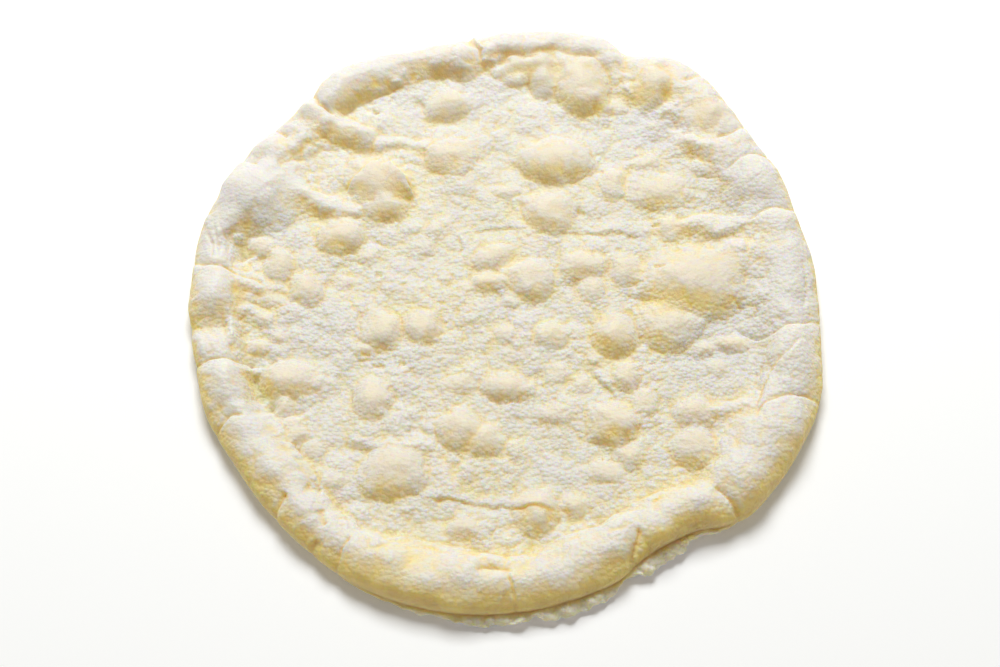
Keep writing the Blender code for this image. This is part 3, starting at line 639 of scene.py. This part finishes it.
def skin_corners(angle, zone, place):
    """Corners of the skin from their plan angle, their zone and their place in it, 0 to 1."""
    out_x = np.cos(np.radians(angle))
    out_y = np.sin(np.radians(angle))
    reach, width = (between(RIM, column, angle) for column in (1, 3))
    inset = crest_inset(width)
    upright = np.pi / 2
    lean = np.select([zone == "top", zone == "rim", zone == "under"],
                     [upright, (1 - place) * upright, -place * upright], -upright)
    lip = torn_lip(angle, EQUATOR_HEIGHT * (1 + np.sin(np.minimum(lean, 0))))
    radius = np.select(
        [zone == "top", zone == "rim", zone == "under"],
        [
            (reach - inset) * place,
            reach - inset * (1 - np.cos(lean)),
            reach - UNDER_TUCK * (1 - np.cos(lean)) + lip,
        ],
        (reach - UNDER_TUCK + lip) * place,
    )
    x = radius * out_x
    y = radius * out_y
    above = (zone == "top") | (zone == "rim")
    knobs = np.clip(lip / 3, 0, 1) * (KNOB_HEIGHT * pebbles(x, y, 3.1, 1.2, 25) - KNOB_SINK)
    low = EQUATOR_HEIGHT * (1 + np.sin(lean))
    plain = np.where(above, plain_rim(x, y), low + knobs * np.clip(low / 2, 0, 1))
    stand = relief(x, y, plain, np.clip(np.sin(lean), 0, 1))
    stand *= np.select([above, zone == "under"], [1.0, np.cos(lean)], 0.0)
    x = x + stand * np.cos(lean) * out_x
    y = y + stand * np.cos(lean) * out_y
    z = np.maximum(plain + stand * np.sin(lean), 0)
    dimples = 0.2 * (1 + uneven(x, y, 11, 61)) + 0.1 * (1 + uneven(x, y, 4, 62))
    z = np.where(zone == "bottom", dimples * np.clip(DIMPLE_EDGE * (1 - place), 0, 1), z)
    return np.column_stack((x, y, z))


def stitch(first, first_count, second, second_count):
    """Triangles between two rings, the second one outside or below the first."""
    faces = []
    i = 0
    j = 0
    while i < first_count or j < second_count:
        a = first + i % first_count
        b = second + j % second_count
        first_is_behind = (i + 1) * second_count < (j + 1) * first_count
        if j == second_count or (i < first_count and first_is_behind):
            faces.append((a, b, first + (i + 1) % first_count))
            i += 1
        else:
            faces.append((a, b, second + (j + 1) % second_count))
            j += 1
    return faces


middle_reach = RIM[0][1]
top_rows = round(middle_reach / GRID_STEP)
around = round(2 * np.pi * middle_reach / GRID_STEP)
rows = [("top", k / top_rows) for k in range(1, top_rows + 1)]
rows += [("rim", k / RIM_ROWS) for k in range(1, RIM_ROWS + 1)]
rows += [("under", k / UNDER_ROWS) for k in range(1, UNDER_ROWS)]
rows += [("bottom", k / BOTTOM_ROWS) for k in range(BOTTOM_ROWS, 0, -1)]
counts = [
    max(LEAST_CORNERS, round(around * place)) if zone in ("top", "bottom") else around
    for zone, place in rows
]
starts = [int(n) for n in np.cumsum([1] + counts)]
faces = [(0, 1 + i, 1 + (i + 1) % counts[0]) for i in range(counts[0])]
for k in range(len(rows) - 1):
    faces += stitch(starts[k], counts[k], starts[k + 1], counts[k + 1])
last_ring = starts[-2]
under_middle = starts[-1]
faces += [
    (under_middle, last_ring + (i + 1) % counts[-1], last_ring + i) for i in range(counts[-1])
]
corners = skin_corners(
    np.concatenate([np.arange(count) * 360.0 / count for count in [1] + counts + [1]]),
    np.repeat(["top"] + [row[0] for row in rows] + ["bottom"], [1] + counts + [1]),
    np.repeat([0.0] + [row[1] for row in rows] + [0.0], [1] + counts + [1]),
)
middle = (corners.min(axis=0) + corners.max(axis=0)) / 2
middle[2] = 0
corners -= middle

skin = bpy.data.meshes.new("dough")
skin.from_pydata((corners * MM).tolist(), [], faces)
dough = bpy.data.objects.new("dough", skin)
bpy.context.scene.collection.objects.link(dough)
thin = dough.modifiers.new("thin", "DECIMATE")
thin.ratio = min(1.0, MOST_TRIANGLES / len(faces))
bpy.context.view_layer.update()
settled = dough.evaluated_get(bpy.context.evaluated_depsgraph_get())
dough.data = bpy.data.meshes.new_from_object(settled)
dough.modifiers.clear()
dough.data.shade_smooth()
bpy.data.meshes.remove(skin)

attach(dough, "root")
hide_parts("pizza_base")


# Flour and painted shade. White flour was dusted over the round from above and stays on what
# stands up.
# The direction it is measured from leans back toward the light high behind. In the hollows, on the
# sides turned from that light and at the outer foot of the rim, the bare, straw yellow dough and a
# deeper yellow are painted in as painted shade. The tops of the blisters are creamy, where the
# flour slid off their taut skin.
FLOUR_AND_LIGHT_FROM = np.array((0.0, 0.35, 0.94))
SMALL_ROUNDS = 10
LARGE_ROUNDS = 160
BROAD_ROUNDS = 30
USUAL_FLOUR = 0.86
SHADE_IN_HOLLOWS = 1.2
SHADE_ON_SIDES = 2.3
LEVEL_ENOUGH = 0.06
LESS_ON_TAUT = 0.05
SHADE_ON_TAUT_SIDES = 1.7
FLOUR_BENEATH = 0.7
SHADE_IN_SMALL_HOLLOWS = 0.9
SHADE_IN_LARGE_HOLLOWS = 0.05
LEAST_SHADE = 0.25
SHADE_ON_STEEP = 1.5
STEEP_FROM = 0.42
SHADE_AT_FOOT = 0.5
FOOT_WIDTH = 5
CREAM_ON_TAUT = 0.35
PLAIN_GRAIN = 0.6
GRAIN_FADES_ABOVE = 14
GRAIN_FADES_BEYOND = 145
CALM_GRAIN = 0.55

# how much more or less flour, size, seed of the draw
FLOUR_PATCHES = ((0.12, 22, 51), (0.07, 7, 52))

# x, y, width, depth, how much more flour, or below 0 how much less
FLOURED = (
    (75, 106, 44, 30, 0.45),
    (110, -8, 84, 84, 0.4),
    (120, 68, 54, 52, 0.3),
    (136, 20, 30, 60, 0.3),
    (10, 128, 80, 40, 0.15),
    (-88, -6, 42, 26, 0.35),
    (-110, -58, 26, 34, 0.25),
    (-120, 66, 54, 46, 0.35),
    (-138, 34, 28, 32, 0.45),
    (-25, -132, 130, 40, -0.28),
    (90, -104, 70, 60, -0.2),
    (-105, -95, 70, 60, -0.05),
    (-118, 48, 56, 30, 0.25),
    # Painted shade: this patch takes flour off the shaded front of the large blister at (90, 14).
    (84, 1, 60, 18, -0.42),
    (70, -122, 26, 16, -0.5),
    (-40, 126, 90, 34, 0.2),
)


def filled_spots(places, edges, rounds):
    """The places after their hollows and mounds have been evened out with their neighbours."""
    count = np.bincount(edges.ravel(), minlength=len(places))[:, None]
    for _ in range(rounds):
        total = np.zeros_like(places)
        for axis in range(3):
            total[:, axis] += np.bincount(edges[:, 0], places[edges[:, 1], axis], len(places))
            total[:, axis] += np.bincount(edges[:, 1], places[edges[:, 0], axis], len(places))
        places = 0.5 * places + 0.5 * total / count
    return places


def read_out(collection, name, kind, width):
    """One of a mesh's own lists of numbers, in rows of the width."""
    numbers = np.empty(len(collection) * width, kind)
    collection.foreach_get(name, numbers)
    return numbers.reshape(-1, width)


places = read_out(dough.data.vertices, "co", np.float32, 3).astype(float) / MM
edges = read_out(dough.data.edges, "vertices", np.int32, 2)
upwards = read_out(dough.data.vertex_normals, "vector", np.float32, 3).astype(float)
small_hollow = ((filled_spots(places, edges, SMALL_ROUNDS) - places) * upwards).sum(axis=1)
large_hollow = ((filled_spots(places, edges, LARGE_ROUNDS) - places) * upwards).sum(axis=1)
broad_upwards = filled_spots(upwards, edges, BROAD_ROUNDS)
broad_upwards /= np.linalg.norm(broad_upwards, axis=1)[:, None]
plan = (places + middle)[:, :2].T
taut = blisters(*dragged(*plan))[1]
# Painted shade: flour is taken off the hollows, off the sides turned from the light high behind
# and off the shaded fronts of the blisters, so that the bare yellow dough shows there.
turned_from_flour_and_light = np.clip(FLOUR_AND_LIGHT_FROM[2] - broad_upwards @ FLOUR_AND_LIGHT_FROM, 0, 1)
flour_and_shade = USUAL_FLOUR - SHADE_IN_HOLLOWS * np.clip(small_hollow, -0.5, 0.35)
flour_and_shade -= SHADE_ON_SIDES * np.clip(turned_from_flour_and_light - LEVEL_ENOUGH, 0, 1)
flour_and_shade -= taut * (LESS_ON_TAUT + SHADE_ON_TAUT_SIDES * turned_from_flour_and_light)
flour_and_shade += swells(*plan, FLOUR_PATCHES)
for middle_x, middle_y, width, depth, amount in FLOURED:
    near, out = over(*plan, middle_x, middle_y, width, depth, 0)
    flour_and_shade[near] += amount * np.clip(1 - out ** 2, 0, 1)
spread_out = np.hypot(*plan) - between(RIM, 1, np.degrees(np.arctan2(plan[1], plan[0])) % 360)
torn = np.clip(0.8 * spread_out - 0.3, 0, 1) * (places[:, 2] < EQUATOR_HEIGHT)
beneath = np.clip(-3 * broad_upwards[:, 2] - 1.8, 0, 1)
flour_and_shade += (FLOUR_BENEATH - flour_and_shade) * beneath
flour_and_shade = np.clip(flour_and_shade, 0, 1)
# Painted shade: the deeper yellow goes into the small and large hollows, onto the steep sides
# turned from the light and onto the outer foot of the rim. On the tops of the blisters it is their
# cream.
deep = SHADE_IN_SMALL_HOLLOWS * small_hollow + SHADE_IN_LARGE_HOLLOWS * large_hollow - LEAST_SHADE
deep += SHADE_ON_STEEP * np.clip(turned_from_flour_and_light - STEEP_FROM, 0, 1)
deep += SHADE_AT_FOOT * np.clip(1 + spread_out / FOOT_WIDTH, 0, 1)
deep = np.maximum(deep, CREAM_ON_TAUT * taut * np.clip(1 - 4 * turned_from_flour_and_light, 0, 1))
deep = np.clip(deep, 0, 1) * (1 - torn) * (1 - beneath)
low_down = np.clip((GRAIN_FADES_ABOVE - places[:, 2]) / 5, 0, 1)
low_down = low_down * (np.hypot(*plan) < GRAIN_FADES_BEYOND)
grained = PLAIN_GRAIN + (1 - PLAIN_GRAIN) * low_down
grained *= 1.15 - 0.45 * np.clip(plan[1] / 100, 0, 1) + 0.4 * np.clip((plan[0] - 30) / 60, 0, 1)
grained *= 1 - CALM_GRAIN * taut
for name, amount in (("flour_and_shade", flour_and_shade), ("deep", deep), ("grained", grained), ("torn", torn)):
    kept = dough.data.attributes.new(name, "FLOAT", "POINT")
    kept.data.foreach_set("value", amount.astype(np.float32))


# The colour of the dough: white flour and water, dried but not browned. Light sinks into it and
# comes back yellower. Its dried skin has a grain of its own, finer than the mounds. The deeper
# yellow is painted shade, and cream on the blister tops. The lighter crumb of the torn lip is
# painted light.
BARE_DOUGH = (0.94, 0.77, 0.32)
DRY_FLOUR = (0.785, 0.77, 0.76)
SHADE_AND_BLISTER_CREAM = (0.79, 0.63, 0.31)
TORN_CRUMB_AND_PAINTED_LIGHT = (0.97, 0.85, 0.70)
MEAN_MOUND = 0.6
MEAN_GRAIN = 0.5

pale_dough = bpy.data.materials.new("pale_dough")
pale_dough.use_nodes = True
nodes = pale_dough.node_tree.nodes
links = pale_dough.node_tree.links
shader = nodes["Principled BSDF"]
shader.inputs["Roughness"].default_value = 0.5
shader.inputs["Specular IOR Level"].default_value = 0.3
shader.inputs["Subsurface Weight"].default_value = 0.8
shader.inputs["Subsurface Radius"].default_value = (1.0, 0.68, 0.12)
shader.inputs["Subsurface Scale"].default_value = 0.008


def number(kind, first, second, clamp=False):
    """A Math node of one kind. Each of its inputs is a socket or a number."""
    node = nodes.new("ShaderNodeMath")
    node.operation = kind
    node.use_clamp = clamp
    for socket, value in zip(node.inputs, (first, second)):
        if isinstance(value, (int, float)):
            socket.default_value = value
        else:
            links.new(value, socket)
    return node.outputs[0]


def painted(amount, low, high):
    """A colour between two, each of them a socket or a colour, by an amount."""
    node = nodes.new("ShaderNodeMix")
    node.data_type = "RGBA"
    links.new(amount, node.inputs["Factor"])
    for name, value in (("A", low), ("B", high)):
        if isinstance(value, tuple):
            node.inputs[name].default_value = (*value, 1)
        else:
            links.new(value, node.inputs[name])
    return node.outputs["Result"]


def measured(name):
    """One of the amounts kept with the mesh."""
    node = nodes.new("ShaderNodeAttribute")
    node.attribute_name = name
    return node.outputs["Fac"]


place = nodes.new("ShaderNodeTexCoord").outputs["Object"]
grain = nodes.new("ShaderNodeTexNoise")
grain.inputs["Scale"].default_value = 1150
grain.inputs["Detail"].default_value = 2
links.new(place, grain.inputs["Vector"])
goose = nodes.new("ShaderNodeTexVoronoi")
goose.feature = "SMOOTH_F1"
goose.inputs["Scale"].default_value = 560
goose.inputs["Smoothness"].default_value = 0.25
drawn_out = nodes.new("ShaderNodeMapping")
drawn_out.inputs["Scale"].default_value = (0.75, 1.0, 0.9)
links.new(place, drawn_out.inputs["Vector"])
links.new(drawn_out.outputs["Vector"], goose.inputs["Vector"])
mound = number("SUBTRACT", 1.0, goose.outputs["Distance"])
skin_height = number("MULTIPLY", mound, measured("grained"))
skin_height = number("ADD", skin_height, number("MULTIPLY", grain.outputs["Fac"], 0.35))

# Flour on the grain's mounds and painted shade between them: the colour follows the bump, whiter
# on its mounds and yellower in its troughs.
speckle_and_trough_shade = number("MULTIPLY", number("SUBTRACT", mound, MEAN_MOUND), 0.36)
fine_speckle = number("SUBTRACT", grain.outputs["Fac"], MEAN_GRAIN)
speckle_and_trough_shade = number("ADD", speckle_and_trough_shade, number("MULTIPLY", fine_speckle, 0.15))
floured_and_shaded = number("ADD", measured("flour_and_shade"), number("MULTIPLY", speckle_and_trough_shade, measured("grained")), True)
colour = painted(floured_and_shaded, BARE_DOUGH, DRY_FLOUR)
# Painted shade, and the cream of the blister tops, in the deeper yellow.
colour = painted(measured("deep"), colour, SHADE_AND_BLISTER_CREAM)
# Painted light: the torn lip lies in the rim's shadow and is painted a lighter, warmer crumb.
colour = painted(measured("torn"), colour, TORN_CRUMB_AND_PAINTED_LIGHT)
links.new(colour, shader.inputs["Base Color"])

skin_bump = nodes.new("ShaderNodeBump")
skin_bump.inputs["Strength"].default_value = 0.9
skin_bump.inputs["Distance"].default_value = 0.0007
links.new(skin_height, skin_bump.inputs["Height"])
links.new(skin_bump.outputs["Normal"], shader.inputs["Normal"])
dough.data.materials.append(pale_dough)


# The board, the light and the view. The base lies on a plain white surface, under a broad soft
# light high behind it, a faint one in front and a dim, warm light from all round. It is seen from
# the front at 60 degrees above level.
BOARD_HALF = 3
board_corners = [
    (-BOARD_HALF, -BOARD_HALF, 0), (BOARD_HALF, -BOARD_HALF, 0),
    (BOARD_HALF, BOARD_HALF, 0), (-BOARD_HALF, BOARD_HALF, 0),
]
board_mesh = bpy.data.meshes.new("board")
board_mesh.from_pydata(board_corners, [], [(0, 1, 2, 3)])
board = bpy.data.objects.new("board", board_mesh)
bpy.context.scene.collection.objects.link(board)
board_paint = bpy.data.materials.new("board_paint")
board_paint.use_nodes = True
board_shader = board_paint.node_tree.nodes["Principled BSDF"]
board_shader.inputs["Base Color"].default_value = (1.0, 1.0, 1.0, 1.0)
board_shader.inputs["Roughness"].default_value = 0.9
board_shader.inputs["Emission Color"].default_value = (0.5, 0.65, 1.0, 1.0)
board_shader.inputs["Emission Strength"].default_value = 0.1
board.data.materials.append(board_paint)

VIEW_HEIGHT = np.radians(60)
VIEW_DISTANCE = 1.1
VIEW_TARGET = np.array((-1.8, -8.7, 0.0)) - middle
LENS = 84.1
SENSOR_WIDTH = 36

camera = bpy.data.objects.new("camera", bpy.data.cameras.new("camera"))
camera.data.lens = LENS
camera.data.sensor_width = SENSOR_WIDTH
to_camera = np.array((0, -np.cos(VIEW_HEIGHT), np.sin(VIEW_HEIGHT)))
camera.location = VIEW_TARGET * MM + VIEW_DISTANCE * to_camera
camera.rotation_euler = (np.pi / 2 - VIEW_HEIGHT, 0, 0)
bpy.context.scene.collection.objects.link(camera)
bpy.context.scene.camera = camera

# name, place, lean, size, power, tint
LAMPS = (
    ("back_light", (-0.07, 1.37, 1.81), 37, (1.1, 1.0), 52.5, (0.95, 0.98, 1.0)),
    ("front_light", (0.0, -1.3, 1.0), -52, (1.4, 0.8), 0.8, (1.0, 0.9, 0.7)),
)
for name, lamp_place, lean, size, power, tint in LAMPS:
    lamp = bpy.data.objects.new(name, bpy.data.lights.new(name, "AREA"))
    lamp.data.shape = "RECTANGLE"
    lamp.data.size, lamp.data.size_y = size
    lamp.data.energy = power
    lamp.data.color = tint
    lamp.location = lamp_place
    lamp.rotation_euler = (-np.radians(lean), 0, 0)
    bpy.context.scene.collection.objects.link(lamp)

world = bpy.data.worlds.new("studio")
world.use_nodes = True
world.node_tree.nodes["Background"].inputs["Color"].default_value = (1.0, 0.87, 0.6, 1.0)
world.node_tree.nodes["Background"].inputs["Strength"].default_value = 0.24
bpy.context.scene.world = world
bpy.context.scene.view_settings.view_transform = "Standard"
